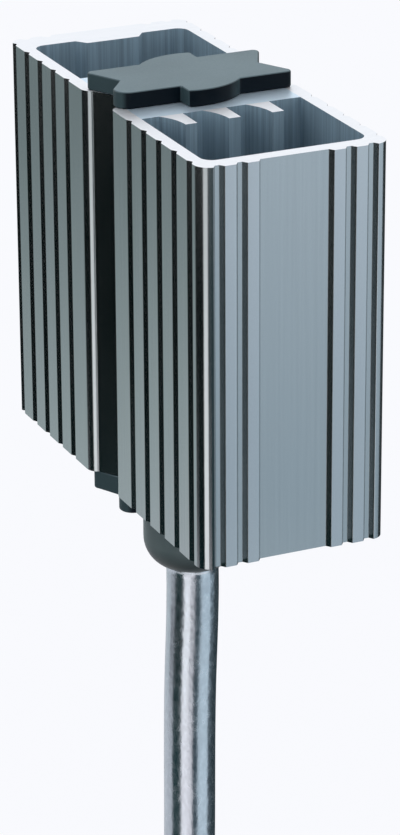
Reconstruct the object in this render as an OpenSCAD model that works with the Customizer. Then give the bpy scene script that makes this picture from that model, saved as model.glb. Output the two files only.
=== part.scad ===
// Enclosure heater: one aluminium extrusion with a warm-air flue on each side of a clamped
// heating element, moulded end caps, and a sheathed supply cable that leaves through a domed gland.
// The origin is the middle of the rear face. X runs across the front face, +Y points out of the
// rear face, and +Z points up along the flues.

/* [Profile] */
// Width of the extrusion across its front face
profile_w = 25.4; // [22:0.1:40]
// Distance from the middle of the waist to the front face
front_l = 31.2; // [28:0.1:45]
// Distance from the middle of the waist to the rear face
rear_l = 30; // [28:0.1:45]
// Height of the extrusion along its flues
profile_h = 52; // [40:1:120]
// Thickness of the two side walls
side_wall = 1.8; // [1.4:0.1:3]
// Thickness of the front wall
front_wall = 2.6; // [1.8:0.1:4]
// Thickness of the rear wall beside its boss
rear_wall = 4.1; // [3:0.1:4.8]
// Radius of the upright corners of the front and rear faces
corner_r = 2; // [1:0.1:2.6]
// Radius of the upright corners beside the notches
notch_r = 1.6; // [1:0.1:2.4]
// Radius of the upright corners inside the front and rear walls
flue_r = 1.6; // [0.4:0.1:2.4]
// Thickness of the metal between the two flues
waist_t = 19.4; // [18:0.1:22]
// Width of the gap between the two flue blocks, at the notches
notch_w = 7.5; // [5:0.1:9]
// Thickness of the metal between a notch and the heating element
notch_wall = 1.5; // [1:0.1:2.2]
// Angle that a block's corner turns through before it meets the notch
notch_turn = 70; // [45:1:80]

/* [Ribs and fins] */
// Width of a V-shaped groove on a side face
side_groove_w = 1.5; // [0.8:0.1:2]
// Depth of a V-shaped groove on a side face
side_groove_d = 0.45; // [0.2:0.05:0.7]
// Distance from the middle of the waist to the first groove of a side face
side_first = 10; // [8:0.1:12]
// Spacing of the grooves on a side face
side_pitch = 4.5; // [3:0.05:7]
// Width of the flat recess in the middle of the front face
panel_w = 10; // [6:0.1:12]
// Width of the ribs on the front and rear faces
end_rib_w = 1.5; // [1:0.05:2.2]
// Width of a groove on the front and rear faces
end_groove_w = 1.5; // [1.2:0.1:2]
// Depth of the recess and the grooves on the front and rear faces
end_groove_d = 0.65; // [0.2:0.05:0.8]
// Distance that the walls of the recess and of these grooves lean out
end_lean = 0.45; // [0.1:0.05:0.5]
// Least distance from a groove to the corner of the extrusion
groove_margin = 1.1; // [1:0.1:2]
// Thickness of a fin
fin_t = 1.6; // [1:0.1:2.6]
// Distance from the middle of the waist to the tip of a fin
fin_reach = 14.1; // [13.6:0.1:17]
// Spacing of the fins
fin_pitch = 5.9; // [4:0.05:7]
// Width that the curve at one side of a fin adds at its root
fin_flare = 1.6; // [0.4:0.1:2]
// Distance that the middle fin stands off the middle of the flue
fin_off = 0.2; // [0:0.1:0.6]

/* [Rear wall] */
// Thickness of the rear wall at the boss for the screws
boss_t = 5.6; // [5:0.1:7]
// Width of the boss at its crest
boss_w = 7.4; // [6:0.1:9]
// Distance that the sides of the boss lean out
boss_lean = 1.1; // [0.4:0.1:1.2]
// Diameter of the two tapped holes before the thread is cut
tapped_d = 3.3; // [2.5:0.1:4.2]
// Distance between the two tapped holes
tapped_pitch = 30; // [20:0.5:34]

/* [End caps] */
// Thickness of the top cap
cap_t = 2.2; // [1.6:0.1:4]
// Thickness of the bottom cap
base_cap_t = 2.6; // [1.6:0.1:4]
// Width of a cap's plate along the extrusion
cap_l = 11; // [10.4:0.1:13]
// Radius of the two bulges in the middle of a cap
cap_bulge_r = 8.1; // [7:0.1:8.8]
// Distance from the middle of a cap to the centre of a bulge
bulge_shift = 1.4; // [0:0.1:2]
// Distance from the middle of a cap to the square step at one side of a bulge
bulge_step = 3.6; // [2.5:0.1:5]
// Distance from a cap's ends to the outside of the extrusion
cap_inset = 0.8; // [0.2:0.1:1]
// Depth of the notch at each end of a cap
cap_notch_d = 2.3; // [1:0.1:2.6]
// Radius of the three sharper tips of a cap
cap_tip_r = 0.8; // [0.3:0.1:1.2]
// Radius of the rounder tip, at the front left
cap_round_r = 1.8; // [1.3:0.1:2.2]
// Depth of the plug under a cap
plug_d = 3.5; // [2:0.1:6]

/* [Heating element] */
// Width of a heating tablet
tablet_w = 14.6; // [12:0.1:16]
// Thickness of a heating tablet
tablet_t = 2.4; // [1.6:0.1:3]
// Height of a heating tablet
tablet_h = 11.4; // [8:0.1:16]
// Gap between two tablets
tablet_gap = 0.4; // [0.2:0.1:1]
// Thickness of a contact plate
contact_t = 0.4; // [0.3:0.05:0.8]
// Width of a contact plate's tab
tab_w = 2.6; // [1.6:0.1:3]
// Length of a contact plate's tab
tab_l = 3; // [2:0.1:5]
// Thickness of the insulating sleeve
sleeve_t = 0.3; // [0.2:0.05:0.6]
// Distance that a contact plate, and then the sleeve, runs past what it covers
overlap = 0.6; // [0.4:0.1:1.2]
// Thickness of a heat spreader
spreader_t = 2.1; // [1.2:0.1:2.6]
// Height kept free for the wiring under the tablets
wiring_h = 10.6; // [9.5:0.1:16]
// Play between the pieces that are clamped or pushed together
play = 0.1; // [0.05:0.01:0.2]

/* [Cable] */
// Diameter of the sheathed cable
cable_d = 7; // [6:0.1:7.6]
// Distance from the extrusion's lower end to the end of the sheath, in the gland's neck
sheath_gap = 1; // [0.5:0.1:1.4]
// Diameter of an insulated core
core_d = 2.2; // [1.8:0.1:2.4]
// Diameter of the gland
gland_d = 13; // [12:0.1:14]
// Length of the gland under the bottom cap
gland_l = 11.2; // [8:0.1:16]
// Radius of the gland's rounded lower edge
gland_round = 4.2; // [1:0.1:4.4]
// Outer diameter of the gland's neck, in the bottom cap
neck_d = 9.4; // [9:0.1:10]
// Outer diameter of the rubber seal in the gland
seal_d = 10.2; // [9:0.1:10.4]
// Height of the rubber seal in the gland
seal_h = 2.6; // [1.6:0.1:3.4]
// Diameter of a crimp on a contact tab
crimp_d = 2.8; // [2.4:0.1:3.2]
// Length of a crimp
crimp_l = 3.6; // [2.6:0.1:4.4]
// Thickness of the earth spring's strip
spring_t = 0.5; // [0.3:0.05:0.8]
// Width of the earth spring's strip
spring_w = 3.4; // [2.4:0.1:4]
// Height of the earth spring's legs
spring_h = 5.5; // [4:0.1:6]
// Diameter of a ferrule's pin
ferrule_d = 1.4; // [1:0.1:1.8]
// Length of a ferrule's pin
ferrule_l = 8; // [6:0.5:12]
// Length of a ferrule's collar
collar_l = 4; // [3:0.5:6]
// Thickness of the cable tie's band
tie_t = 1.2; // [0.8:0.1:2]
// Width of the cable tie's band
tie_w = 3.6; // [2.5:0.1:5]

/* [Hidden] */
$fn = 64;

// Length added to a cut so that it passes right through
through = 1;

// Middle of the waist along Y, and the heights of the extrusion's two ends
mid_y = -rear_l;
top_z = profile_h / 2;
bottom_z = -profile_h / 2;

// Width of the two flues
flue_w = profile_w - 2 * side_wall;

// Middle of the first and the last possible groove on the front and rear faces, and their spacing
end_pitch = end_rib_w + end_groove_w;
end_first = panel_w / 2 + end_rib_w + end_groove_w / 2;
end_last = profile_w / 2 - groove_margin - end_groove_w / 2;

// Stack of the heating element, from its middle outwards
contact_y = tablet_t / 2 + play + contact_t / 2;
sleeve_in_y = contact_y + contact_t / 2 + play;
sleeve_in_x = tablet_w / 2 + play;
spreader_y = sleeve_in_y + sleeve_t + play + spreader_t / 2;
slot_x = sleeve_in_x + sleeve_t + play;
slot_y = spreader_y + spreader_t / 2 + play;

// Heights of the heating element
tablets_z = bottom_z + wiring_h;
tablet_room = profile_h - wiring_h - plug_d - 3 * overlap;
tablet_count = floor((tablet_room + tablet_gap) / (tablet_h + tablet_gap));
tablets_h = tablet_count * (tablet_h + tablet_gap) - tablet_gap;
contact_z = tablets_z - overlap;
contact_h = tablets_h + 2 * overlap;
sleeve_z = contact_z - overlap;
sleeve_h = contact_h + 2 * overlap;
crimp_z = contact_z - tab_l - crimp_l;

// Places of the three cores across the wiring space and inside the cable
live_x = -5;
neutral_x = 0;
earth_x = 5;
live_in_cable = [-1.3, 0];
neutral_in_cable = [0.65, 1.15];
earth_in_cable = [0.65, -1.15];

// Heights of the gland, its seal and the end of the cable's sheath
gland_z = bottom_z - base_cap_t;
gland_bore_d = cable_d + 2 * play;
neck_h = base_cap_t - 2 * play;
seal_z = gland_z - gland_l / 2;
sheath_z = bottom_z - sheath_gap;
spring_z = sleeve_z - overlap - spring_h;

// Route of the cable from the end of its sheath in the gland: it hangs, loops back and is tied
cable_route = [
    [0, mid_y, sheath_z], [0, mid_y, -44], [-0.5, mid_y, -60], [-0.7, mid_y, -80], [-1, mid_y, -100],
    [-1, -29.5, -120], [-1, -29.5, -140], [-1, -27.5, -150], [-1, -24.5, -156], [-1, -20, -162],
    [-1, -16, -167], [-1, -12.5, -174], [-1, -11, -184], [-1, -14, -195], [-1, -22, -203],
    [-1, -33, -206], [-1, -44, -203], [-1, -52, -195], [-1, -55, -184], [-1, -53.5, -174],
    [-1, -50, -167], [-1, -46, -162], [-1, -41.5, -156], [-1, -38.5, -150], [-1, -37, -140],
    [-1, -37, -128]
];
loop_x = -1;
near_run_y = -29.5;
far_run_y = -37;
tie_z = -136;
tail_z = -128;

// Routes of the cores past the far end of the sheath
live_tail_route = [[-2.3, -37, tail_z], [-2.4, -37.2, -122], [-3.5, -38, -112], [-5, -39, -102]];
neutral_tail_route = [[-0.35, -35.85, tail_z], [-0.3, -35.8, -122], [1, -35.5, -112], [2, -35, -102]];
earth_tail_route = [[-0.35, -38.15, tail_z], [-0.3, -38.4, -122], [1, -40, -112], [2, -42, -102]];

// Routes of the cores from the sheath up to their crimps and to the earth spring
live_route = core_route(live_in_cable, [live_x, -contact_y], crimp_z);
neutral_route = core_route(neutral_in_cable, [neutral_x, contact_y], crimp_z);
earth_route = core_route(earth_in_cable, [earth_x, 0], spring_z);

function core_route(from, to, end_z) = [
    [from[0], mid_y + from[1], sheath_z],
    [from[0], mid_y + from[1], sheath_z + play],
    [(from[0] + 2 * to[0]) / 3, mid_y + (from[1] + 2 * to[1]) / 3, (sheath_z + 2 * end_z) / 3],
    [to[0], mid_y + to[1], end_z - play],
    [to[0], mid_y + to[1], end_z]
];

// Sweep of a round section along a route, and the number of sides on the cable and on its cores
cable_sides = 12;
core_sides = 8;
function unit(v) = v / norm(v);
function heading(route, i) =
    unit(route[min(i + 1, len(route) - 1)] - route[max(i - 1, 0)]);
function ring(centre, along, d, sides) =
    let (across = unit(cross(along, [1, 0, 0])), upward = cross(along, across))
    [for (k = [0:sides - 1])
        centre + d / 2 * (cos(360 * k / sides) * across + sin(360 * k / sides) * upward)];
function last(list) = list[len(list) - 1];
function last_heading(route) = unit(last(route) - route[len(route) - 2]);

module tube_along(route, d, sides, first_along, last_along) {
    rings = len(route);
    along = [for (i = [0:rings - 1])
        i == 0 ? first_along : i == rings - 1 ? last_along : heading(route, i)];
    points = [for (i = [0:rings - 1]) each ring(route[i], along[i], d, sides)];
    walls = [for (i = [0:rings - 2], k = [0:sides - 1])
        let (next = (k + 1) % sides)
        [i * sides + k, i * sides + next, (i + 1) * sides + next, (i + 1) * sides + k]];
    start = [for (k = [sides - 1:-1:0]) k];
    end = [for (k = [0:sides - 1]) (rings - 1) * sides + k];
    polyhedron(points, concat([start], walls, [end]));
}

// Block with rounded upright corners, centred across X and running from the X axis along +Y
module rounded_block(width, length, near_r, far_r) {
    translate([-width / 2, near_r]) square([width, length - near_r - far_r]);
    translate([-width / 2 + near_r, 0]) square([width - 2 * near_r, length / 2]);
    translate([-width / 2 + far_r, length / 2]) square([width - 2 * far_r, length / 2]);
    for (x = [-1, 1]) {
        translate([x * (width / 2 - near_r), near_r]) circle(near_r);
        translate([x * (width / 2 - far_r), length - far_r]) circle(far_r);
    }
}

// Section of the extrusion, with the middle of the waist at its origin
module outline() {
    // Point on a block's corner where the notch's face begins
    edge_x = profile_w / 2 - notch_r * (1 - cos(notch_turn));
    edge_y = notch_w / 2 + notch_r * (1 - sin(notch_turn));
    throat_x = slot_x + notch_wall;
    translate([0, notch_w / 2]) rounded_block(profile_w, rear_l - notch_w / 2, notch_r, corner_r);
    mirror([0, 1]) translate([0, notch_w / 2])
        rounded_block(profile_w, front_l - notch_w / 2, notch_r, corner_r);
    polygon([
        [throat_x, 0], [edge_x, edge_y], [-edge_x, edge_y],
        [-throat_x, 0], [-edge_x, -edge_y], [edge_x, -edge_y]
    ]);
}

// Fin with one straight side and one that curves out to its root
module fin() {
    length = fin_reach - waist_t / 2;
    curve_r = (length * length + fin_flare * fin_flare) / (2 * fin_flare);
    difference() {
        translate([-fin_t / 2 - fin_flare, 0]) square([fin_t + fin_flare, fin_reach]);
        translate([-fin_t / 2 - curve_r, fin_reach]) circle(curve_r);
    }
}

// Flue that runs from the waist along +Y, with rounded corners at its end wall
module flue(length) {
    translate([0, waist_t / 2]) {
        rounded_block(flue_w, length, flue_r, flue_r);
        translate([-flue_w / 2, 0]) square([flue_w, length / 2]);
    }
}

module front_flue() {
    difference() {
        flue(front_l - front_wall - waist_t / 2);
        for (x = [-fin_pitch, 0, fin_pitch]) translate([x - fin_off, 0]) fin();
    }
}

module rear_flue() {
    difference() {
        flue(rear_l - rear_wall - waist_t / 2);
        boss();
    }
}

// Boss for the screws, inside the rear wall
module boss() {
    crest_x = boss_w / 2;
    base_x = crest_x + boss_lean;
    polygon([
        [base_x, rear_l], [base_x, rear_l - rear_wall], [crest_x, rear_l - boss_t],
        [-crest_x, rear_l - boss_t], [-base_x, rear_l - rear_wall], [-base_x, rear_l]
    ]);
}

// Groove that is cut down from the X axis, with walls that lean out
module groove(width, depth, lean) {
    polygon([
        [-width / 2, through], [-width / 2, 0], [lean - width / 2, -depth],
        [width / 2 - lean, -depth], [width / 2, 0], [width / 2, through]
    ]);
}

module side_grooves(reach) {
    last_y = reach - groove_margin - side_groove_w / 2;
    for (side = [-90, 90], y = [side_first:side_pitch:last_y])
        translate([-sign(side) * profile_w / 2, y]) rotate(side)
            polygon([
                [-side_groove_w / 2, through], [-side_groove_w / 2, 0], [0, -side_groove_d],
                [side_groove_w / 2, 0], [side_groove_w / 2, through]
            ]);
}

module end_grooves(reach) {
    for (side = [-1, 1], x = [end_first:end_pitch:end_last])
        translate([side * x, reach]) groove(end_groove_w, end_groove_d, end_lean);
}

module section() {
    difference() {
        outline();
        square([2 * slot_x, 2 * slot_y], center = true);
        mirror([0, 1]) {
            front_flue();
            side_grooves(front_l);
            end_grooves(front_l);
            translate([0, front_l]) groove(panel_w, end_groove_d, end_lean);
        }
        rear_flue();
        side_grooves(rear_l);
        end_grooves(rear_l);
    }
}

module heater_profile() {
    color("lightsteelblue") difference() {
        translate([0, mid_y, bottom_z]) linear_extrude(profile_h) section();
        for (z = [-tapped_pitch / 2, tapped_pitch / 2])
            translate([0, through, z]) rotate([90, 0, 0])
                cylinder(h = boss_t + 2 * through, d = tapped_d);
    }
}

// Outline of a cap: a bow tie whose ends follow the notches. The bulge on each long side rises from
// a square step and runs out round. The two halves are the same, half a turn apart, except that the
// tip at the front left is rounder.
function tip_centre(radius) = [profile_w / 2 - cap_inset - radius, cap_l / 2 - radius];
function tip_shoulder(radius) = tip_centre(radius) + radius * [cos(45), -cos(45)];

module cap_outline() {
    throat_x = profile_w / 2 - cap_inset - cap_notch_d;
    sharp_tip = tip_centre(cap_tip_r);
    sharp_shoulder = tip_shoulder(cap_tip_r);
    for (turn = [0, 180]) rotate(turn) {
        tip_r = turn == 0 ? cap_tip_r : cap_round_r;
        polygon([
            [throat_x, 0], tip_shoulder(tip_r), [tip_centre(tip_r)[0], cap_l / 2],
            [-throat_x / 2, cap_l / 2], [-throat_x / 2, -cap_l / 2],
            [sharp_tip[0], -cap_l / 2], [sharp_shoulder[0], -sharp_shoulder[1]]
        ]);
        translate(tip_centre(tip_r)) circle(tip_r);
        translate([sharp_tip[0], -sharp_tip[1]]) circle(cap_tip_r);
        intersection() {
            translate([-bulge_shift, 0]) circle(cap_bulge_r);
            translate([-bulge_step, -2 * cap_bulge_r]) square(2 * cap_bulge_r);
        }
    }
}

module plug_outline() {
    square([2 * (slot_x - play), 2 * (slot_y - play)], center = true);
}

module top_cap() {
    color("dimgray") translate([0, mid_y, top_z]) {
        linear_extrude(cap_t) cap_outline();
        translate([0, 0, -plug_d]) linear_extrude(plug_d + play) plug_outline();
    }
}

module bottom_cap() {
    color("dimgray") translate([0, mid_y, gland_z]) linear_extrude(base_cap_t) difference() {
        cap_outline();
        circle(d = neck_d + 2 * play);
    }
}

// Heating element
module at_waist(x, y, z) {
    translate([x, mid_y + y, z]) children();
}

module slab(width, thickness, height) {
    translate([-width / 2, -thickness / 2, 0]) cube([width, thickness, height]);
}

module ptc_tablets() {
    color("darkslategray") for (i = [0:tablet_count - 1])
        at_waist(0, 0, tablets_z + i * (tablet_h + tablet_gap)) slab(tablet_w, tablet_t, tablet_h);
}

module contact(side, tab_x) {
    color("gold") {
        at_waist(0, side * contact_y, contact_z) slab(tablet_w, contact_t, contact_h);
        at_waist(tab_x, side * contact_y, contact_z - tab_l) slab(tab_w, contact_t, tab_l + play);
    }
}

module front_contact() {
    contact(-1, live_x);
}

module rear_contact() {
    contact(1, neutral_x);
}

module insulating_sleeve() {
    color("peru") at_waist(0, 0, sleeve_z) difference() {
        slab(2 * (sleeve_in_x + sleeve_t), 2 * (sleeve_in_y + sleeve_t), sleeve_h);
        translate([0, 0, -through]) slab(2 * sleeve_in_x, 2 * sleeve_in_y, sleeve_h + 2 * through);
    }
}

module spreader(side) {
    color("silver") at_waist(0, side * spreader_y, sleeve_z)
        slab(2 * (slot_x - play), spreader_t, sleeve_h);
}

module front_spreader() {
    spreader(-1);
}

module rear_spreader() {
    spreader(1);
}

// Wiring between the cable and the heating element
module crimp(x, side) {
    color("silver") at_waist(x, side * contact_y, crimp_z) cylinder(h = crimp_l, d = crimp_d);
}

module live_crimp() {
    crimp(live_x, -1);
}

module neutral_crimp() {
    crimp(neutral_x, 1);
}

module earth_spring() {
    color("gold") at_waist(earth_x, 0, spring_z) {
        slab(spring_w, 2 * (slot_y - play), spring_t);
        for (side = [-1, 1]) translate([0, side * (slot_y - play - spring_t / 2), 0])
            slab(spring_w, spring_t, spring_h);
    }
}

module inner_core(route) {
    tube_along(route, core_d, core_sides, [0, 0, 1], [0, 0, 1]);
}

module live_core() {
    color("saddlebrown") inner_core(live_route);
}

module neutral_core() {
    color("royalblue") inner_core(neutral_route);
}

module earth_core() {
    color("yellowgreen") inner_core(earth_route);
}

// Gland: a domed bush with a neck in the bottom cap, and a groove inside for the seal
module cable_gland() {
    gland_r = gland_d / 2;
    color("dimgray") translate([0, mid_y, gland_z]) difference() {
        rotate_extrude() {
            square([neck_d / 2, neck_h]);
            translate([0, gland_round - gland_l]) square([gland_r, gland_l - gland_round]);
            translate([0, -gland_l]) square([gland_r - gland_round, gland_l]);
            intersection() {
                translate([gland_r - gland_round, gland_round - gland_l]) circle(gland_round);
                translate([0, -gland_l]) square([gland_r, gland_l]);
            }
        }
        translate([0, 0, -gland_l - through])
            cylinder(h = gland_l + neck_h + 2 * through, d = gland_bore_d);
        translate([0, 0, seal_z - gland_z]) cylinder(h = seal_h + 2 * play, d = seal_d + 2 * play);
    }
}

module gland_seal() {
    color("black") translate([0, mid_y, seal_z + play]) difference() {
        cylinder(h = seal_h, d = seal_d);
        translate([0, 0, -through]) cylinder(h = seal_h + 2 * through, d = gland_bore_d);
    }
}

// Cable, its tie, and the bared cores at its far end
module supply_cable() {
    color("darkslategray") tube_along(cable_route, cable_d, cable_sides, [0, 0, -1], [0, 0, 1]);
}

module tie_outline(extra) {
    reach = abs(far_run_y - near_run_y) / 2;
    for (y = [-reach, reach]) translate([0, y]) circle(cable_d / 2 + play + extra);
    square([cable_d + 2 * (play + extra), 2 * reach], center = true);
}

module cable_tie() {
    head = 2 * tie_w;
    band_x = cable_d / 2 + play;
    color("black") translate([loop_x, (near_run_y + far_run_y) / 2, tie_z]) {
        linear_extrude(tie_w) difference() {
            tie_outline(tie_t);
            tie_outline(0);
        }
        translate([band_x, -head / 2, 0]) cube([2 * tie_t, head, tie_w]);
    }
}

module tail(route) {
    tube_along(route, core_d, core_sides, [0, 0, 1], last_heading(route));
}

module live_tail() {
    color("saddlebrown") tail(live_tail_route);
}

module neutral_tail() {
    color("royalblue") tail(neutral_tail_route);
}

module earth_tail() {
    color("yellowgreen") tail(earth_tail_route);
}

// Ferrule that stands on the end of a core, in line with it
module ferrule(route) {
    along = last_heading(route);
    color("silver") translate(last(route))
        rotate([0, acos(along[2]), atan2(along[1], along[0])]) {
            cylinder(h = collar_l, d = core_d);
            cylinder(h = collar_l + ferrule_l, d = ferrule_d);
        }
}

module live_ferrule() {
    ferrule(live_tail_route);
}

module neutral_ferrule() {
    ferrule(neutral_tail_route);
}

module earth_ferrule() {
    ferrule(earth_tail_route);
}

heater_profile();
top_cap();
bottom_cap();
ptc_tablets();
front_contact();
rear_contact();
insulating_sleeve();
front_spreader();
rear_spreader();
live_crimp();
neutral_crimp();
earth_spring();
live_core();
neutral_core();
earth_core();
cable_gland();
gland_seal();
supply_cable();
cable_tie();
live_tail();
neutral_tail();
earth_tail();
live_ferrule();
neutral_ferrule();
earth_ferrule();
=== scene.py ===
"""Looks of a finned enclosure heater: extruded profile, end caps, heating element, domed gland and lead.

Sizes are in metres, in the part's own frame: X across the front face, +Y out of the rear face,
+Z up the flues.
"""

import math

import bmesh
import bpy
from mathutils import Matrix, Vector


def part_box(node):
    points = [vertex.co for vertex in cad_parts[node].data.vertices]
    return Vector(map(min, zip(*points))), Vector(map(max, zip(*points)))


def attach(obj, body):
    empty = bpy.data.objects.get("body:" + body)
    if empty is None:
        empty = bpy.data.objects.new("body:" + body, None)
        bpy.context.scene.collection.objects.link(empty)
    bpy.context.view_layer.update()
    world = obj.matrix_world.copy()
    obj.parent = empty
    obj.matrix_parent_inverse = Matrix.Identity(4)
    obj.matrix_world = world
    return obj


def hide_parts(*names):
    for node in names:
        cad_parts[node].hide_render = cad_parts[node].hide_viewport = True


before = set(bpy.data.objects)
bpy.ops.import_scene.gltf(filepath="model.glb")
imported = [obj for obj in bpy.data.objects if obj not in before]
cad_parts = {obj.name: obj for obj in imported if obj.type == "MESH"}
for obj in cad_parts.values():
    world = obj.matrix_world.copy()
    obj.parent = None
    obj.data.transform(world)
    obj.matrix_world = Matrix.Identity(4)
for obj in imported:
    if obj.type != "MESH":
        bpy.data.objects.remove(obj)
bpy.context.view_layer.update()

bl_info = {
    "name": "Enclosure heater",
    "version": (1, 0, 0),
    "blender": (4, 5, 0),
    "location": "View3D > Sidebar > Heater",
    "description": "Dresses a finned enclosure heater and sets its studio",
    "category": "Object",
}

# Sizes taken from the frame
PROFILE_LOW, PROFILE_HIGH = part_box("heater_profile")
GLAND_LOW, GLAND_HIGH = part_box("cable_gland")
MIDDLE_Y = (GLAND_LOW.y + GLAND_HIGH.y) / 2

# Route of the lead, from inside the gland, down through the tie, round the loop and back up to the tie
LEAD_ROUTE = (
    (0, -0.0300, -0.027),
    (0, -0.0300, -0.044),
    (-0.0005, -0.0300, -0.060),
    (-0.0007, -0.0300, -0.080),
    (-0.001, -0.0300, -0.100),
    (-0.001, -0.0295, -0.120),
    (-0.001, -0.0295, -0.140),
    (-0.001, -0.0275, -0.150),
    (-0.001, -0.0245, -0.156),
    (-0.001, -0.0200, -0.162),
    (-0.001, -0.0160, -0.167),
    (-0.001, -0.0125, -0.174),
    (-0.001, -0.0110, -0.184),
    (-0.001, -0.0140, -0.195),
    (-0.001, -0.0220, -0.203),
    (-0.001, -0.0330, -0.206),
    (-0.001, -0.0440, -0.203),
    (-0.001, -0.0520, -0.195),
    (-0.001, -0.0550, -0.184),
    (-0.001, -0.0535, -0.174),
    (-0.001, -0.0500, -0.167),
    (-0.001, -0.0460, -0.162),
    (-0.001, -0.0415, -0.156),
    (-0.001, -0.0385, -0.150),
    (-0.001, -0.0370, -0.140),
    (-0.001, -0.0370, -0.128),
)

# Routes of the insulated cores that stand out of the lead's end
TAIL_ROUTES = {
    "live": (
        (-0.0023, -0.0370, -0.128),
        (-0.0024, -0.0372, -0.122),
        (-0.0035, -0.0380, -0.112),
        (-0.0050, -0.0390, -0.102),
    ),
    "neutral": (
        (-0.00035, -0.03585, -0.128),
        (-0.0003, -0.0358, -0.122),
        (0.0010, -0.0355, -0.112),
        (0.0020, -0.0350, -0.102),
    ),
    "earth": (
        (-0.00035, -0.03815, -0.128),
        (-0.0003, -0.0384, -0.122),
        (0.0010, -0.0400, -0.112),
        (0.0020, -0.0420, -0.102),
    ),
}

# Points of a solid's mesh that lie closer than this are one
MERGE = 2e-6
# Faces that meet at less than this angle are one flat face
FLAT = math.radians(0.3)
# Share of its length that an upright edge rises
UPRIGHT = 0.99

# A wall of the profile is thicker than this, and a groove in it is shallower
SKIN = 0.0012
# Depth of the front ribs' crests, which are painted lighter than the recessed panel as a painted highlight
PAINTED_CREST_DEPTH = 0.00004
# Distance from the middle of the waist past which a wall is a flue's, just less than the waist reaches
WAIST_HALF = 0.0095
# Half of the waist's sawn end, which carries a painted shade from the cap, and the bright rim left without
# it on the left and right
WAIST_END = 0.00969
WAIST_RIM = 0.0018

# Lines, marks and grains of the finishes, for each metre
DIE_LINES = 2200.0
TIN_LINES = 2400.0
SHEATH_LINES = 420.0
SAW_MARKS = 5200.0
CAP_GRAINS = 5200.0
SHEATH_RIPPLES = 1300.0
# Depths of the bumps: die lines and saw marks, a fine grain, a coarser grain, and the sheath's ripple
MARK_DEPTH = 0.000005
FINE = 0.00001
COARSE = 0.00002
RIPPLE_DEPTH = 0.00006
# Range that nearly all of a noise falls in
NOISE_LOW = 0.3
NOISE_HIGH = 0.7

# Cards of the screen round the object, which its reflections show: first and last bearing in degrees,
# from -X towards -Y, then the light at the card's top and, where it differs, at its foot
BODY_CARDS = {
    "side_card": (-105, -44, (0.255, 0.32, 0.33), (0.57, 0.67, 0.69)),
    "side_flag": (-44, 27, (0.002, 0.006, 0.006)),
    "near_card": (27, 56, (0.88, 0.92, 0.94), (1.75, 1.78, 1.80)),
    "near_flag": (56, 107, (0.028, 0.055, 0.065)),
    "front_card": (107, 173, (0.69, 0.82, 0.93), (0.40, 0.53, 0.63)),
    "right_flag": (173, 250, (0.040, 0.050, 0.055)),
    "rear_card": (250, 255, (0.50, 0.56, 0.56)),
}
LEAD_CARDS = {
    "lead_side": (-105, -19, (0.67, 0.70, 0.76)),
    "lead_flag": (-19, 26, (0.010, 0.045, 0.050)),
    "lead_near": (26, 76, (1.10, 1.06, 1.12)),
    "lead_shade": (76, 100, (0.020, 0.050, 0.070)),
    "lead_front": (100, 153, (0.68, 0.80, 0.89)),
    "lead_right": (153, 255, (0.030, 0.048, 0.058)),
}


class HeaterSizes(bpy.types.PropertyGroup):
    """Sizes of the edges and of the lead."""

    rib_edge: bpy.props.FloatProperty(
        name="Rib edge",
        description="Width of the rounded edges along the ribs and fins",
        default=0.00008,
        subtype="DISTANCE",
        unit="LENGTH",
    )
    cap_edge: bpy.props.FloatProperty(
        name="Cap edge",
        description="Width of the rounded edges of the end caps",
        default=0.00025,
        subtype="DISTANCE",
        unit="LENGTH",
    )
    sharp: bpy.props.FloatProperty(
        name="Sharp edge",
        description="Angle between two faces above which their edge is sharp",
        default=math.radians(24),
        subtype="ANGLE",
        unit="ROTATION",
    )
    lead_swell: bpy.props.FloatProperty(
        name="Lead swell",
        description="How many times its own diameter the lead has where it leaves the gland",
        default=1.025,
    )
    swell_length: bpy.props.FloatProperty(
        name="Swell length",
        description="Distance over which the lead's swell under the gland dies out",
        default=0.0005,
        subtype="DISTANCE",
        unit="LENGTH",
    )
    lead_length: bpy.props.FloatProperty(
        name="Lead length",
        description="Length of the lead from the gland to its bare end",
        default=0.3,
        subtype="DISTANCE",
        unit="LENGTH",
    )
    lead_diameter: bpy.props.FloatProperty(
        name="Lead diameter",
        description="Outer diameter of the lead's sheath",
        default=0.007,
        subtype="DISTANCE",
        unit="LENGTH",
    )
    core_diameter: bpy.props.FloatProperty(
        name="Core diameter",
        description="Outer diameter of an insulated core",
        default=0.0022,
        subtype="DISTANCE",
        unit="LENGTH",
    )


def colour_property(name, description, default):
    """A colour that a user may change."""
    return bpy.props.FloatVectorProperty(
        name=name,
        description=description,
        default=default,
        size=3,
        min=0,
        max=1,
        subtype="COLOR",
    )


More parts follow.
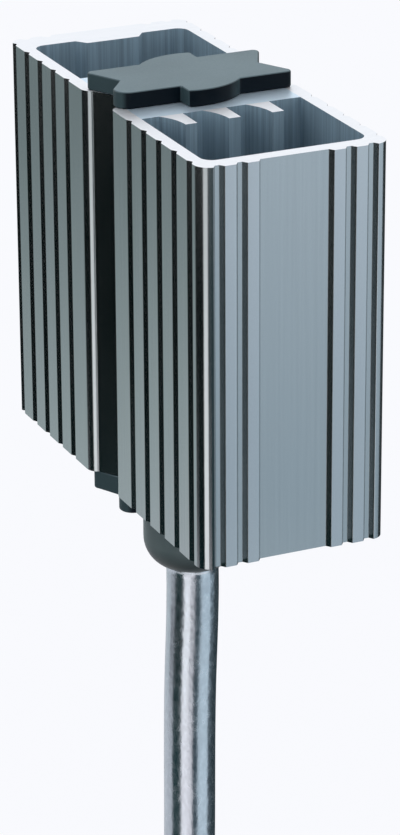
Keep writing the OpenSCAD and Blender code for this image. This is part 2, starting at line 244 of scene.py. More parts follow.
class HeaterFinishes(bpy.types.PropertyGroup):
    """Colours and gloss of the finishes."""

    aluminium: colour_property("Aluminium", "Extruded aluminium of the profile", (0.46, 0.48, 0.485))
    # Painted highlight: the crests of the front ribs are lighter than the recessed panel
    crest_painted_light: colour_property("Crest", "Brighter crests of the front ribs", (0.545, 0.555, 0.565))
    # Painted shade: the waist's sawn end is darker and bluish where the cap's shadow falls
    waist: colour_property("Waist end", "Duller sawn end of the waist", (0.68, 0.84, 0.98))
    sawn: colour_property("Sawn end", "Bright sawn ends of the profile", (0.885, 0.92, 0.98))
    # Painted shade: the walls inside the flues are darker and bluish, as shade falls in them; they are also
    # rougher and less metallic
    flue: colour_property("Flue", "Duller walls inside the flues", (0.22, 0.32, 0.40))
    # Painted light: the end caps are lit and shaded copies of one plastic, near black on the sides, lighter
    # on the ends and palest on top
    cap: colour_property("Cap", "Sides of the moulded end caps", (0.0006, 0.004, 0.008))
    cap_end_painted_light: colour_property("Cap ends", "Lighter ends of the end caps", (0.034, 0.058, 0.066))
    cap_top_painted_light: colour_property("Cap top", "Paler upper face of the end caps", (0.145, 0.205, 0.235))
    gland: colour_property("Gland", "Barrel of the moulded gland", (0.085, 0.112, 0.116))
    # Painted shade: the gland's dome is darker where it looks down
    gland_painted_shade: colour_property("Gland underside", "Dome of the moulded gland", (0.014, 0.024, 0.025))
    sheath: colour_property("Sheath", "Sheath of the lead", (0.62, 0.66, 0.70))
    brass: colour_property("Brass", "Contact plates and spring", (0.78, 0.60, 0.30))
    film: colour_property("Film", "Insulating sleeve", (0.45, 0.22, 0.05))
    tinned: colour_property("Tinned", "Tinned crimps and ferrules", (0.72, 0.72, 0.71))
    ceramic: colour_property("Ceramic", "Heating tablets", (0.16, 0.17, 0.18))
    rubber: colour_property("Rubber", "Seal and tie", (0.025, 0.025, 0.025))
    live: colour_property("Live core", "Insulation of the live core", (0.16, 0.055, 0.02))
    neutral: colour_property("Neutral core", "Insulation of the neutral core", (0.03, 0.11, 0.42))
    earth: colour_property("Earth core", "Insulation of the earth core", (0.12, 0.34, 0.05))
    stripe: colour_property("Earth stripe", "Stripe of the earth core", (0.75, 0.62, 0.05))
    sawn_metal: bpy.props.FloatProperty(
        name="Sawn metal",
        description="How metallic the sawn ends of the profile look",
        default=0.7,
        subtype="FACTOR",
    )
    flue_metal: bpy.props.FloatProperty(
        name="Flue metal",
        description="How metallic the walls inside the flues look",
        default=0.2,
        subtype="FACTOR",
    )
    flue_roughness: bpy.props.FloatProperty(
        name="Flue roughness",
        description="Roughness of the walls inside the flues",
        default=0.55,
        subtype="FACTOR",
    )


class HeaterStudio(bpy.types.PropertyGroup):
    """Camera, floor, screen and light."""

    azimuth: bpy.props.FloatProperty(
        name="Azimuth",
        description="How far the camera stands to the left of the front face",
        default=math.radians(24.40),
        subtype="ANGLE",
        unit="ROTATION",
    )
    elevation: bpy.props.FloatProperty(
        name="Elevation",
        description="How far the camera looks down",
        default=math.radians(21.79),
        subtype="ANGLE",
        unit="ROTATION",
    )
    roll: bpy.props.FloatProperty(
        name="Roll",
        description="Turn of the camera about its own axis",
        default=math.radians(-0.32),
        subtype="ANGLE",
        unit="ROTATION",
    )
    distance: bpy.props.FloatProperty(
        name="Distance",
        description="Distance from the camera to the point it looks at",
        default=0.49872,
        subtype="DISTANCE",
        unit="LENGTH",
    )
    aim_right: bpy.props.FloatProperty(
        name="Aim right",
        description="How far right of the origin the camera looks, across the picture",
        default=0.01366,
        subtype="DISTANCE",
        unit="LENGTH",
    )
    aim_down: bpy.props.FloatProperty(
        name="Aim down",
        description="How far below the origin the camera looks, down the picture",
        default=0.02767,
        subtype="DISTANCE",
        unit="LENGTH",
    )
    lens: bpy.props.FloatProperty(
        name="Lens",
        description="Focal length in millimetres",
        default=158.0,
    )
    floor_level: bpy.props.FloatProperty(
        name="Floor level",
        description="Height of the floor below the object",
        default=-0.8,
        subtype="DISTANCE",
        unit="LENGTH",
    )
    floor_size: bpy.props.FloatProperty(
        name="Floor size",
        description="Side of the square floor",
        default=30.0,
        subtype="DISTANCE",
        unit="LENGTH",
    )
    floor_colour: colour_property("Floor", "Pale floor", (0.948, 0.956, 0.991))
    floor_glow: bpy.props.FloatProperty(
        name="Floor glow",
        description="Share of the floor's look that no shadow darkens",
        default=0.97,
        subtype="FACTOR",
    )
    screen_radius: bpy.props.FloatProperty(
        name="Screen radius",
        description="Radius of the screen of cards round the object",
        default=0.8,
        subtype="DISTANCE",
        unit="LENGTH",
    )
    screen_top: bpy.props.FloatProperty(
        name="Screen top",
        description="Height of the screen's upper edge",
        default=-0.12,
        subtype="DISTANCE",
        unit="LENGTH",
    )
    screen_split: bpy.props.FloatProperty(
        name="Screen split",
        description="Height at which the cards for the body stand on those for the lead",
        default=-0.388,
        subtype="DISTANCE",
        unit="LENGTH",
    )
    grade_top: bpy.props.FloatProperty(
        name="Grade top",
        description="Height at which a card has the light of its top",
        default=-0.22,
        subtype="DISTANCE",
        unit="LENGTH",
    )
    sky: bpy.props.FloatProperty(
        name="Sky",
        description="Strength of the even light from all round",
        default=1.0,
    )


def activate(piece):
    """Selects one piece alone."""
    bpy.ops.object.select_all(action="DESELECT")
    piece.select_set(True)
    bpy.context.view_layer.objects.active = piece


def copy_of(node, name):
    """A new piece with a copy of a solid's mesh, its loose triangles merged into flat faces."""
    piece = bpy.data.objects.new(name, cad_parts[node].data.copy())
    piece.data.name = name
    bpy.context.collection.objects.link(piece)
    activate(piece)
    bpy.ops.mesh.customdata_custom_splitnormals_clear()
    bpy.ops.object.mode_set(mode="EDIT")
    bpy.ops.mesh.select_all(action="SELECT")
    bpy.ops.mesh.remove_doubles(threshold=MERGE)
    bpy.ops.mesh.dissolve_limited(angle_limit=FLAT)
    bpy.ops.mesh.select_all(action="DESELECT")
    bpy.ops.object.mode_set(mode="OBJECT")
    return piece


def pick_edges(piece, wanted):
    """In edit mode, selects the edges that a test picks out."""
    bpy.ops.mesh.select_mode(type="EDGE")
    bpy.ops.mesh.select_all(action="DESELECT")
    shape = bmesh.from_edit_mesh(piece.data)
    for edge in shape.edges:
        edge.select_set(wanted(edge))
    shape.select_flush(False)
    bmesh.update_edit_mesh(piece.data)


def is_sharp(edge, angle):
    """True for an edge between two faces that meet at more than an angle."""
    return len(edge.link_faces) == 2 and edge.calc_face_angle(0) > angle


def is_upright(edge):
    """True for an edge that runs along Z."""
    low, high = (corner.co for corner in edge.verts)
    return abs(high.z - low.z) > UPRIGHT * (high - low).length


def round_edges(piece, width, segments, wanted):
    """In edit mode, rounds the edges that a test picks out."""
    pick_edges(piece, wanted)
    bpy.ops.mesh.bevel(offset=width, segments=segments, profile=0.5, affect="EDGES", clamp_overlap=True)


def smooth_flats(piece, angle):
    """Smooth shading over the rounds, with the flat faces kept flat."""
    activate(piece)
    bpy.ops.object.shade_smooth_by_angle(angle=angle)
    bpy.ops.object.modifier_add(type="WEIGHTED_NORMAL")
    piece.modifiers[-1].keep_sharp = True
    bpy.ops.object.modifier_apply(modifier=piece.modifiers[-1].name)


def hand_over(piece, finish, slot, *nodes):
    """Gives a finished piece its material and its body, and hides the solids that it stands for. Its slot
    is not used.
    """
    piece.data.materials.clear()
    piece.data.materials.append(finish)
    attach(piece, "root")
    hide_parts(*nodes)


def dress(node, finish):
    """Gives a solid that stays as it is a finish of its own."""
    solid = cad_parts[node]
    solid.data.materials.clear()
    solid.data.materials.append(finish)


def opaque(colour, share=1.0):
    """A colour with an alpha, brightened or darkened by a share."""
    return (*[min(1.0, part * share) for part in colour], 1.0)


def new_group(name, inputs, outputs):
    """An empty shader node group with float or vector inputs and float outputs."""
    group = bpy.data.node_groups.new(name, "ShaderNodeTree")
    for label, kind in inputs:
        group.interface.new_socket(name=label, in_out="INPUT", socket_type=kind)
    for label in outputs:
        group.interface.new_socket(name=label, in_out="OUTPUT", socket_type="NodeSocketFloat")
    start = group.nodes.new("NodeGroupInput")
    end = group.nodes.new("NodeGroupOutput")
    return group, start, end


def add_noise(tree, vector, scale, detail=3.0, roughness=0.55):
    """A noise texture; the scale is a number or the socket that gives it."""
    noise = tree.nodes.new("ShaderNodeTexNoise")
    noise.inputs["Detail"].default_value = detail
    noise.inputs["Roughness"].default_value = roughness
    tree.links.new(vector, noise.inputs["Vector"])
    if isinstance(scale, (int, float)):
        noise.inputs["Scale"].default_value = scale
    else:
        tree.links.new(scale, noise.inputs["Scale"])
    return noise.outputs["Fac"]


def stretched(tree, vector, shares):
    """Coordinates scaled by three shares, so that a pattern draws out along the smallest."""
    scale = tree.nodes.new("ShaderNodeVectorMath")
    scale.operation = "MULTIPLY"
    scale.inputs[1].default_value = shares
    tree.links.new(vector, scale.inputs[0])
    return scale.outputs["Vector"]


def mapped(tree, value, low, high, to_low, to_high):
    """A value carried from one range to another, and held there."""
    ranged = tree.nodes.new("ShaderNodeMapRange")
    ranged.inputs["From Min"].default_value = low
    ranged.inputs["From Max"].default_value = high
    ranged.inputs["To Min"].default_value = to_low
    ranged.inputs["To Max"].default_value = to_high
    tree.links.new(value, ranged.inputs["Value"])
    return ranged.outputs["Result"]


def spread(tree, noise, low, high):
    """A noise carried to a range of its own."""
    return mapped(tree, noise, NOISE_LOW, NOISE_HIGH, low, high)


def blended(tree, share, first, second, kind="RGBA"):
    """A mix of two colours or two values, each a constant or a socket."""
    mix = tree.nodes.new("ShaderNodeMix")
    mix.data_type = kind
    slots = (6, 7, 2) if kind == "RGBA" else (2, 3, 0)
    tree.links.new(share, mix.inputs[0])
    for slot, value in zip(slots[:2], (first, second)):
        if isinstance(value, bpy.types.NodeSocket):
            tree.links.new(value, mix.inputs[slot])
        else:
            mix.inputs[slot].default_value = value
    return mix.outputs[slots[2]]


def calculated(tree, operation, first, second=0.0):
    """A sum or a test of two values, each a constant or a socket."""
    node = tree.nodes.new("ShaderNodeMath")
    node.operation = operation
    for slot, value in zip(node.inputs, (first, second)):
        if isinstance(value, bpy.types.NodeSocket):
            tree.links.new(value, slot)
        else:
            slot.default_value = value
    return node.outputs["Value"]


def separated(tree, vector):
    """The three parts of a vector."""
    parts = tree.nodes.new("ShaderNodeSeparateXYZ")
    tree.links.new(vector, parts.inputs["Vector"])
    return parts.outputs


def facing(tree, axis):
    """How far a face looks along an axis, from minus one to one."""
    return separated(tree, tree.nodes.new("ShaderNodeNewGeometry").outputs["Normal"])[axis]


def bumped(tree, shader, height, depth, strength):
    """A bump of a real depth on a shader."""
    bump = tree.nodes.new("ShaderNodeBump")
    bump.inputs["Strength"].default_value = strength
    bump.inputs["Distance"].default_value = depth
    tree.links.new(height, bump.inputs["Height"])
    tree.links.new(bump.outputs["Normal"], shader.inputs["Normal"])


def drawn_lines_group():
    """Fine lines drawn out along Z by a die or a roller, and slow clouds across them."""
    name = "Drawn lines"
    if name in bpy.data.node_groups:
        return bpy.data.node_groups[name]
    inputs = (("Vector", "NodeSocketVector"), ("Lines per metre", "NodeSocketFloat"))
    group, start, end = new_group(name, inputs, ("Lines", "Clouds"))
    long_lines = stretched(group, start.outputs["Vector"], (1.0, 1.0, 0.012))
    lines = add_noise(group, long_lines, start.outputs["Lines per metre"], detail=4.0, roughness=0.65)
    group.links.new(lines, end.inputs["Lines"])
    slow = stretched(group, start.outputs["Vector"], (1.0, 1.0, 0.35))
    group.links.new(add_noise(group, slow, scale=70.0, detail=2.0), end.inputs["Clouds"])
    return group


def grain_group():
    """Fine grain of a mould or a fired surface, and slow clouds across it."""
    name = "Moulded grain"
    if name in bpy.data.node_groups:
        return bpy.data.node_groups[name]
    inputs = (("Vector", "NodeSocketVector"), ("Grains per metre", "NodeSocketFloat"))
    group, start, end = new_group(name, inputs, ("Grain", "Clouds"))
    spot = start.outputs["Vector"]
    grain = add_noise(group, spot, start.outputs["Grains per metre"], detail=2.0, roughness=0.5)
    group.links.new(grain, end.inputs["Grain"])
    group.links.new(add_noise(group, spot, scale=110.0, detail=2.0), end.inputs["Clouds"])
    return group


def place_group(tree, group, vector, density):
    """Puts a shared group into a material, with its own density."""
    placed = tree.nodes.new("ShaderNodeGroup")
    placed.node_tree = group
    tree.links.new(vector, placed.inputs["Vector"])
    placed.inputs[1].default_value = density
    return placed


def new_finish(name, metallic=0.0, ior=1.5):
    """A material with its Principled shader and its Object coordinates."""
    finish = bpy.data.materials.new(name)
    finish.use_nodes = True
    tree = finish.node_tree
    shader = tree.nodes["Principled BSDF"]
    shader.inputs["Metallic"].default_value = metallic
    shader.inputs["IOR"].default_value = ior
    place = tree.nodes.new("ShaderNodeTexCoord").outputs["Object"]
    return finish, tree, shader, place


def moulded_finish(name, colour, grains, roughness, depth, ior=1.5, under=None):
    """Moulded plastic or rubber with a fine grain and clouds in its colour, and, where a second colour is
    given, a painted shade in it on faces that look down.
    """
    finish, tree, shader, place = new_finish(name, ior=ior)
    grain = place_group(tree, grain_group(), place, grains)
    share = spread(tree, grain.outputs["Clouds"], 0, 1)
    tint = blended(tree, share, opaque(colour, 0.82), opaque(colour, 1.2))
    if under:
        # Painted shade: faces that look down take the darker colour
        is_unshaded = mapped(tree, facing(tree, "Z"), -0.6, 0.0, 0, 1)
        tint = blended(tree, is_unshaded, opaque(under), tint)
    tree.links.new(tint, shader.inputs["Base Color"])
    gloss = spread(tree, grain.outputs["Grain"], roughness - 0.06, roughness + 0.06)
    tree.links.new(gloss, shader.inputs["Roughness"])
    bumped(tree, shader, grain.outputs["Grain"], depth, strength=0.5)
    return finish


def core_finish(name, colour):
    """Insulation of a core of one colour."""
    return moulded_finish(name, colour, grains=3000.0, roughness=0.32, depth=FINE)


def drawn_finish(name, colour, lines, roughness):
    """Rolled or drawn metal: fine lines along Z in its colour, gloss and height."""
    finish, tree, shader, place = new_finish(name, metallic=1.0)
    drawn = place_group(tree, drawn_lines_group(), place, lines)
    share = spread(tree, drawn.outputs["Lines"], 0, 1)
    tint = blended(tree, share, opaque(colour, 0.88), opaque(colour, 1.08))
    tree.links.new(tint, shader.inputs["Base Color"])
    gloss = spread(tree, drawn.outputs["Clouds"], roughness - 0.05, roughness + 0.05)
    tree.links.new(gloss, shader.inputs["Roughness"])
    bumped(tree, shader, drawn.outputs["Lines"], FINE, strength=0.4)
    return finish


def from_middle(tree, place):
    """How far a spot lies from the profile's middle, across it and along it."""
    spot = separated(tree, place)
    across = calculated(tree, "ABSOLUTE", spot["X"])
    along = calculated(tree, "ABSOLUTE", calculated(tree, "SUBTRACT", spot["Y"], MIDDLE_Y))
    return across, along


def flue_mask(tree, place):
    """One on the walls inside the flues, where a painted shade goes."""
    across, along = from_middle(tree, place)
    depth = separated(tree, place)["Y"]
    mask = calculated(tree, "LESS_THAN", across, PROFILE_HIGH.x - SKIN)
    for test in (
        calculated(tree, "GREATER_THAN", along, WAIST_HALF),
        calculated(tree, "GREATER_THAN", depth, PROFILE_LOW.y + SKIN),
        calculated(tree, "LESS_THAN", depth, PROFILE_HIGH.y - SKIN),
    ):
        mask = calculated(tree, "MULTIPLY", mask, test)
    return mask


def waist_painted_shade_mask(tree, place):
    """One on the sawn metal between the flues, where a painted shade goes."""
    across, along = from_middle(tree, place)
    is_inner = calculated(tree, "LESS_THAN", across, PROFILE_HIGH.x - WAIST_RIM)
    is_waist = calculated(tree, "LESS_THAN", along, WAIST_END)
    return calculated(tree, "MULTIPLY", is_inner, is_waist)


def profile_finish(finishes):
    """Extruded aluminium with die lines along the flues, duller inside them under a painted shade, front
    rib crests lighter as a painted highlight, and bright sawn ends with a painted shade on the waist's end.
    """
    finish, tree, shader, place = new_finish("extruded_aluminium", metallic=1.0)
    drawn = place_group(tree, drawn_lines_group(), place, DIE_LINES)
    share = spread(tree, drawn.outputs["Lines"], 0, 1)
    wall = blended(tree, share, opaque(finishes.aluminium, 0.97), opaque(finishes.aluminium, 1.03))
    # Painted shade: the walls inside the flues take a darker, bluish colour
    flue = blended(tree, share, opaque(finishes.flue, 0.72), opaque(finishes.flue, 1.28))
    marks = add_noise(tree, stretched(tree, place, (0.04, 1.0, 1.0)), SAW_MARKS, roughness=0.6)
    # Painted shade on the waist's sawn end, beside the cap
    ends = blended(tree, waist_painted_shade_mask(tree, place), opaque(finishes.sawn), opaque(finishes.waist))
    sawn = blended(tree, spread(tree, marks, 0, 0.06), ends, opaque(finishes.aluminium))
    is_end = mapped(tree, calculated(tree, "ABSOLUTE", facing(tree, "Z")), 0.6, 0.9, 0, 1)
    inside = flue_mask(tree, place)
    # Painted highlight: the crests of the front ribs are lighter than the recessed panel between them
    is_painted_crest = calculated(tree, "LESS_THAN", separated(tree, place)["Y"], PROFILE_LOW.y + PAINTED_CREST_DEPTH)
    painted_crests = blended(tree, is_painted_crest, wall, opaque(finishes.crest_painted_light))
    tint = blended(tree, is_end, blended(tree, inside, painted_crests, flue), sawn)
    tree.links.new(tint, shader.inputs["Base Color"])
    wall_shine = mapped(tree, inside, 0, 1, 1.0, finishes.flue_metal)
    shine = blended(tree, is_end, wall_shine, finishes.sawn_metal, "FLOAT")
    tree.links.new(shine, shader.inputs["Metallic"])
    drawn_gloss = spread(tree, drawn.outputs["Clouds"], 0.14, 0.20)
    wall_gloss = blended(tree, inside, drawn_gloss, finishes.flue_roughness, "FLOAT")
    gloss = blended(tree, is_end, wall_gloss, spread(tree, marks, 0.34, 0.46), "FLOAT")
    tree.links.new(gloss, shader.inputs["Roughness"])
    height = blended(tree, is_end, drawn.outputs["Lines"], marks, "FLOAT")
    bumped(tree, shader, height, MARK_DEPTH, strength=0.3)
    return finish


def cap_finish(finishes):
    """Black moulded plastic with a fine grain, with painted light: lighter on its ends and palest where it
    faces up.
    """
    finish, tree, shader, place = new_finish("cap_plastic")
    shader.inputs["Specular IOR Level"].default_value = 0.10
    grain = place_group(tree, grain_group(), place, CAP_GRAINS)
    share = spread(tree, grain.outputs["Clouds"], 0, 1)
    sides = blended(tree, share, opaque(finishes.cap, 0.8), opaque(finishes.cap, 1.2))
    # Painted light: the caps' ends, which look along X, are lighter
    is_end = mapped(tree, calculated(tree, "ABSOLUTE", facing(tree, "X")), 0.45, 0.75, 0, 1)
    sides = blended(tree, is_end, sides, opaque(finishes.cap_end_painted_light))
    # Painted light: faces that look up are palest
    painted_tops = blended(tree, share, opaque(finishes.cap_top_painted_light, 0.94), opaque(finishes.cap_top_painted_light, 1.06))
    is_painted_top = mapped(tree, facing(tree, "Z"), 0.5, 0.95, 0, 1)
    tree.links.new(blended(tree, is_painted_top, sides, painted_tops), shader.inputs["Base Color"])
    tree.links.new(spread(tree, grain.outputs["Grain"], 0.38, 0.5), shader.inputs["Roughness"])
    bumped(tree, shader, grain.outputs["Grain"], COARSE, strength=0.5)
    return finish


def sheath_finish(finishes):
    """Smooth silver-grey sheath, a little uneven along its length."""
    finish, tree, shader, place = new_finish("silver_grey_sheath", metallic=1.0)
    drawn = place_group(tree, drawn_lines_group(), place, SHEATH_LINES)
    cloudy = spread(tree, drawn.outputs["Clouds"], 0, 0.4)
    ripple = add_noise(tree, stretched(tree, place, (1.0, 1.0, 0.6)), SHEATH_RIPPLES)
    mottled = mapped(tree, ripple, 0.35, 0.65, 0, 0.6)
    share = calculated(tree, "ADD", cloudy, mottled)
    tint = blended(tree, share, opaque(finishes.sheath, 0.84), opaque(finishes.sheath, 1.12))
    tree.links.new(tint, shader.inputs["Base Color"])
    tree.links.new(spread(tree, ripple, 0.20, 0.28), shader.inputs["Roughness"])
    bumped(tree, shader, ripple, RIPPLE_DEPTH, strength=0.5)
    return finish


def earth_finish(finishes):
    """Insulation of the earth core, with a stripe along it."""
    finish, tree, shader, place = new_finish("earth_insulation")
    wave = tree.nodes.new("ShaderNodeTexWave")
    wave.bands_direction = "X"
    wave.inputs["Scale"].default_value = 140.0
    wave.inputs["Distortion"].default_value = 0.4
    tree.links.new(place, wave.inputs["Vector"])
    share = mapped(tree, wave.outputs["Fac"], 0.55, 0.6, 0, 1)
    tint = blended(tree, share, opaque(finishes.earth), opaque(finishes.stripe))
    tree.links.new(tint, shader.inputs["Base Color"])
    tree.links.new(spread(tree, add_noise(tree, place, 1500.0), 0.28, 0.38), shader.inputs["Roughness"])
    return finish


def stage_finish(name):
    """A material of the stage, with no shader as yet."""
    finish = bpy.data.materials.new(name)
    finish.use_nodes = True
    tree = finish.node_tree
    tree.nodes.remove(tree.nodes["Principled BSDF"])
    return finish, tree


def glow_finish(name, top, foot, levels):
    """A card that gives its own light, graded between two heights."""
    finish, tree = stage_finish(name)
    place = tree.nodes.new("ShaderNodeTexCoord").outputs["Object"]
    share = mapped(tree, separated(tree, place)["Z"], *levels, 0, 1)
    glow = tree.nodes.new("ShaderNodeEmission")
    tree.links.new(blended(tree, share, (*foot, 1.0), (*top, 1.0)), glow.inputs["Color"])
    tree.links.new(glow.outputs["Emission"], tree.nodes["Material Output"].inputs["Surface"])
    return finish


def floor_finish(studio):
    """A pale floor that shows as near white and keeps a share of the object's shadow."""
    finish, tree = stage_finish("pale_floor")
    matt = tree.nodes.new("ShaderNodeBsdfDiffuse")
    matt.inputs["Color"].default_value = opaque(studio.floor_colour)
    glow = tree.nodes.new("ShaderNodeEmission")
    glow.inputs["Color"].default_value = opaque(studio.floor_colour)
    ray = tree.nodes.new("ShaderNodeLightPath")
    seen = ray.outputs["Is Camera Ray"]
    for kind in ("Is Glossy Ray", "Is Transmission Ray"):
        seen = calculated(tree, "MAXIMUM", seen, ray.outputs[kind])
    mix = tree.nodes.new("ShaderNodeMixShader")
    tree.links.new(mapped(tree, seen, 0, 1, 0, studio.floor_glow), mix.inputs["Fac"])
    tree.links.new(matt.outputs["BSDF"], mix.inputs[1])
    tree.links.new(glow.outputs["Emission"], mix.inputs[2])
    tree.links.new(mix.outputs["Shader"], tree.nodes["Material Output"].inputs["Surface"])
    return finish


def make_camera(studio):
    """A camera at the viewing angle, looking down on the heater's front left edge."""
    side, down = studio.azimuth, studio.elevation
    ahead = Vector((math.sin(side) * math.cos(down), math.cos(side) * math.cos(down), -math.sin(down)))
    right = Vector((math.cos(side), -math.sin(side), 0))
    above = right.cross(ahead)
    turned_right = right * math.cos(studio.roll) + above * math.sin(studio.roll)
    turned_up = above * math.cos(studio.roll) - right * math.sin(studio.roll)
    place = turned_right * studio.aim_right - turned_up * studio.aim_down - ahead * studio.distance
    turn = Matrix((turned_right, turned_up, -ahead)).transposed().to_4x4()
    bpy.ops.object.camera_add()
    camera = bpy.context.object
    camera.name = "studio_camera"
    camera.matrix_world = Matrix.Translation(place) @ turn
    camera.data.lens = studio.lens
    camera.data.sensor_width = 36.0
    camera.data.clip_start = 0.01
    bpy.context.scene.camera = camera


def make_floor(studio):
    """A wide pale floor below the lead."""
    bpy.ops.mesh.primitive_plane_add(size=studio.floor_size, location=(0, 0, studio.floor_level))
    floor = bpy.context.object
    floor.name = "studio_floor"
    floor.data.materials.append(floor_finish(studio))


def bearing(point):
    """Bearing in degrees of a point from the heater's middle, from -X towards -Y."""
    return math.degrees(math.atan2(MIDDLE_Y - point.y, -point.x))


def make_ring(name, cards, low, high, studio):
    """A ring of pale cards and dark flags round the object, which only its reflections show."""
    bpy.ops.mesh.primitive_cylinder_add(
        vertices=360,
        radius=studio.screen_radius,
        depth=high - low,
        end_fill_type="NOTHING",
        location=(0, MIDDLE_Y, (low + high) / 2),
    )
    ring = bpy.context.object
    ring.name = name
    bpy.ops.object.transform_apply(location=True, rotation=False, scale=False)
    levels = (studio.screen_split, studio.grade_top)
    for card, (_, _, *lights) in cards.items():
        ring.data.materials.append(glow_finish(card, lights[0], lights[-1], levels))
    spans = [card[:2] for card in cards.values()]
    for face in ring.data.polygons:
        angle = bearing(face.center)
        turns = (angle, angle + 360)
        found = [n for n, span in enumerate(spans) if any(span[0] <= turn < span[1] for turn in turns)]
        face.material_index = found[0]
    ring.visible_camera = False


def make_screen(studio):
    """Two rings of cards, the upper for the body and the lower for the lead."""
    make_ring("studio_body_screen", BODY_CARDS, studio.screen_split, studio.screen_top, studio)
    make_ring("studio_lead_screen", LEAD_CARDS, studio.floor_level, studio.screen_split, studio)


def make_world(studio):
    """Even light from all round, shown in the floor's own colour."""
    world = bpy.data.worlds.new("studio_world")
    bpy.context.scene.world = world
    world.use_nodes = True
    tree = world.node_tree
    sky = tree.nodes["Background"]
    is_seen = tree.nodes.new("ShaderNodeLightPath").outputs["Is Camera Ray"]
    shown = blended(tree, is_seen, opaque((1.0, 1.0, 1.0)), opaque(studio.floor_colour))
    tree.links.new(shown, sky.inputs["Color"])
    sky.inputs["Strength"].default_value = studio.sky


def tube(name, route, diameter, sides):
    """A round cord along a route, as one smooth curve. A point may carry its share of the diameter."""
    line = bpy.data.curves.new(name, "CURVE")
    line.dimensions = "3D"
    line.bevel_depth = diameter / 2
    line.bevel_resolution = sides // 4
    line.resolution_u = 8
    line.use_fill_caps = True
    spline = line.splines.new("BEZIER")
    spline.bezier_points.add(len(route) - 1)
    for knot, point in zip(spline.bezier_points, route):
        knot.co = point[:3]
        knot.radius = point[3] if len(point) > 3 else 1.0
        knot.handle_left_type = "AUTO"
        knot.handle_right_type = "AUTO"
    cord = bpy.data.objects.new(name, line)
    bpy.context.collection.objects.link(cord)
    return cord


class HEATER_OT_studio(bpy.types.Operator):
    """Set the camera, the floor, the screen and the light"""

    bl_idname = "heater.studio"
    bl_label = "Studio"

    def execute(self, context):
        studio = context.scene.heater_studio
        context.scene.view_settings.view_transform = "Standard"
        make_camera(studio)
        make_floor(studio)
        make_screen(studio)
        make_world(studio)
        return {"FINISHED"}


class HEATER_OT_lead(bpy.types.Operator):
    """Hang the lead from the gland, with the cores, ferrules and tie at its end"""

    bl_idname = "heater.lead"
    bl_label = "Lead"

    def execute(self, context):
        sizes = context.scene.heater_sizes
        finishes = context.scene.heater_finishes
        tails = []
        insulation = {
            "live": core_finish("live_insulation", finishes.live),
            "neutral": core_finish("neutral_insulation", finishes.neutral),
            "earth": earth_finish(finishes),
        }
        for core, route in TAIL_ROUTES.items():
            tail = tube(core + "_tail_core", route, sizes.core_diameter, sides=24)
            hand_over(tail, insulation[core], core + "_insulation", core + "_tail")
            dress(core + "_core", insulation[core])
            tinned = drawn_finish(core + "_ferrule", finishes.tinned, TIN_LINES, roughness=0.28)
            dress(core + "_ferrule", tinned)
            tails += [tail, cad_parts[core + "_ferrule"]]
        nylon = moulded_finish("tie_nylon", finishes.rubber, grains=2600.0, roughness=0.42, depth=COARSE)
        dress("cable_tie", nylon)
        mouth = GLAND_LOW.z
        swell = (
            (0, MIDDLE_Y, mouth + sizes.swell_length / 4, 1.0),
            (0, MIDDLE_Y, mouth - sizes.swell_length / 8, sizes.lead_swell),
            (0, MIDDLE_Y, mouth - sizes.swell_length, 1.0),
        )
        route = (LEAD_ROUTE[0], *swell, *LEAD_ROUTE[1:])
        lead = tube("supply_lead", route, sizes.lead_diameter, sides=48)
        hand_over(lead, sheath_finish(finishes), "sheath", "supply_cable")
        return {"FINISHED"}


class HEATER_OT_profile(bpy.types.Operator):
    """Round the long edges of the extruded profile"""

    bl_idname = "heater.profile"
    bl_label = "Profile"

    def execute(self, context):
        sizes = context.scene.heater_sizes

        def is_long_edge(edge):
            return is_upright(edge) and is_sharp(edge, sizes.sharp)

        profile = copy_of("heater_profile", "finned_profile")
        bpy.ops.object.mode_set(mode="EDIT")
        round_edges(profile, sizes.rib_edge, segments=2, wanted=is_long_edge)
        bpy.ops.object.mode_set(mode="OBJECT")
        smooth_flats(profile, sizes.sharp)
        hand_over(profile, profile_finish(context.scene.heater_finishes), "extrusion", "heater_profile")
        return {"FINISHED"}


class HEATER_OT_caps(bpy.types.Operator):
    """Round the edges of the moulded end caps"""

    bl_idname = "heater.caps"
    bl_label = "End caps"

    def execute(self, context):
        sizes = context.scene.heater_sizes
        finish = cap_finish(context.scene.heater_finishes)
        for node, name in (("top_cap", "top_end_cap"), ("bottom_cap", "bottom_end_cap")):
            cap = copy_of(node, name)
            bpy.ops.object.mode_set(mode="EDIT")
            round_edges(cap, sizes.cap_edge, segments=3, wanted=lambda edge: is_sharp(edge, sizes.sharp))
            bpy.ops.object.mode_set(mode="OBJECT")
            smooth_flats(cap, sizes.sharp)
            hand_over(cap, finish, "cap", node)
        return {"FINISHED"}


class HEATER_OT_gland(bpy.types.Operator):
    """Smooth the domed gland and finish its seal"""

    bl_idname = "heater.gland"
    bl_label = "Gland"

    def execute(self, context):
        sizes = context.scene.heater_sizes
        finishes = context.scene.heater_finishes
        gland = copy_of("cable_gland", "domed_gland")
        smooth_flats(gland, sizes.sharp)
        plastic = moulded_finish(
            "gland_plastic",
            finishes.gland,
            grains=4200.0,
            roughness=0.34,
            depth=COARSE,
            ior=1.22,
            under=finishes.gland_painted_shade,
        )
        hand_over(gland, plastic, "gland", "cable_gland")
        rubber = moulded_finish("seal_rubber", finishes.rubber, grains=3000.0, roughness=0.6, depth=COARSE)
        dress("gland_seal", rubber)
        return {"FINISHED"}


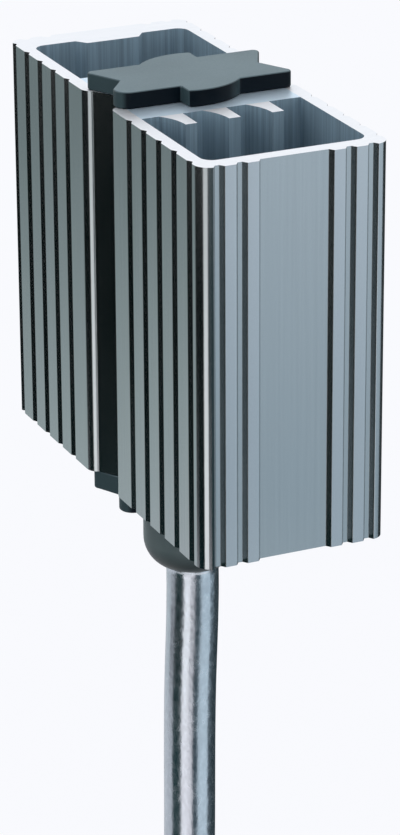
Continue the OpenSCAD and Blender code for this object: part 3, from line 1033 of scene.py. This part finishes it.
class HEATER_OT_element(bpy.types.Operator):
    """Finish the heating element that the profile clamps"""

    bl_idname = "heater.element"
    bl_label = "Heating element"

    def execute(self, context):
        finishes = context.scene.heater_finishes
        brass = drawn_finish("contact_brass", finishes.brass, DIE_LINES, roughness=0.3)
        plate = drawn_finish("spreader_aluminium", finishes.aluminium, DIE_LINES, roughness=0.36)
        tinned = drawn_finish("crimp_tin", finishes.tinned, TIN_LINES, roughness=0.3)
        for node in ("front_contact", "rear_contact", "earth_spring"):
            dress(node, brass)
        for node in ("front_spreader", "rear_spreader"):
            dress(node, plate)
        for node in ("live_crimp", "neutral_crimp"):
            dress(node, tinned)
        tablet = finishes.ceramic
        film = finishes.film
        fired = moulded_finish("fired_ceramic", tablet, grains=3600.0, roughness=0.6, depth=COARSE)
        wrapped = moulded_finish("sleeve_film", film, grains=1600.0, roughness=0.25, depth=FINE)
        dress("ptc_tablets", fired)
        dress("insulating_sleeve", wrapped)
        return {"FINISHED"}


class HEATER_PT_panel(bpy.types.Panel):
    """Lists the heater's steps, sizes and colours"""

    bl_idname = "HEATER_PT_panel"
    bl_label = "Enclosure heater"
    bl_space_type = "VIEW_3D"
    bl_region_type = "UI"
    bl_category = "Heater"

    def draw(self, context):
        for operator in OPERATORS:
            self.layout.operator(operator.bl_idname)
        for title, (attribute, group) in GROUPS.items():
            box = self.layout.box()
            box.label(text=title)
            values = getattr(context.scene, attribute)
            for name in group.__annotations__:
                box.prop(values, name)


OPERATORS = (
    HEATER_OT_studio,
    HEATER_OT_lead,
    HEATER_OT_profile,
    HEATER_OT_caps,
    HEATER_OT_gland,
    HEATER_OT_element,
)
GROUPS = {
    "Sizes": ("heater_sizes", HeaterSizes),
    "Finishes": ("heater_finishes", HeaterFinishes),
    "Studio": ("heater_studio", HeaterStudio),
}


def register():
    """Registers the groups of values, the steps and the panel."""
    for attribute, group in GROUPS.values():
        bpy.utils.register_class(group)
        setattr(bpy.types.Scene, attribute, bpy.props.PointerProperty(type=group))
    for operator in OPERATORS:
        bpy.utils.register_class(operator)
    bpy.utils.register_class(HEATER_PT_panel)


def unregister():
    """Takes back what register did."""
    bpy.utils.unregister_class(HEATER_PT_panel)
    for operator in reversed(OPERATORS):
        bpy.utils.unregister_class(operator)
    for attribute, group in GROUPS.values():
        delattr(bpy.types.Scene, attribute)
        bpy.utils.unregister_class(group)


def main():
    """Runs the steps in order."""
    register()
    bpy.ops.object.select_all(action="DESELECT")
    bpy.ops.heater.studio()
    bpy.ops.heater.lead()
    bpy.ops.heater.profile()
    bpy.ops.heater.caps()
    bpy.ops.heater.gland()
    bpy.ops.heater.element()


if __name__ == "__main__":
    main()
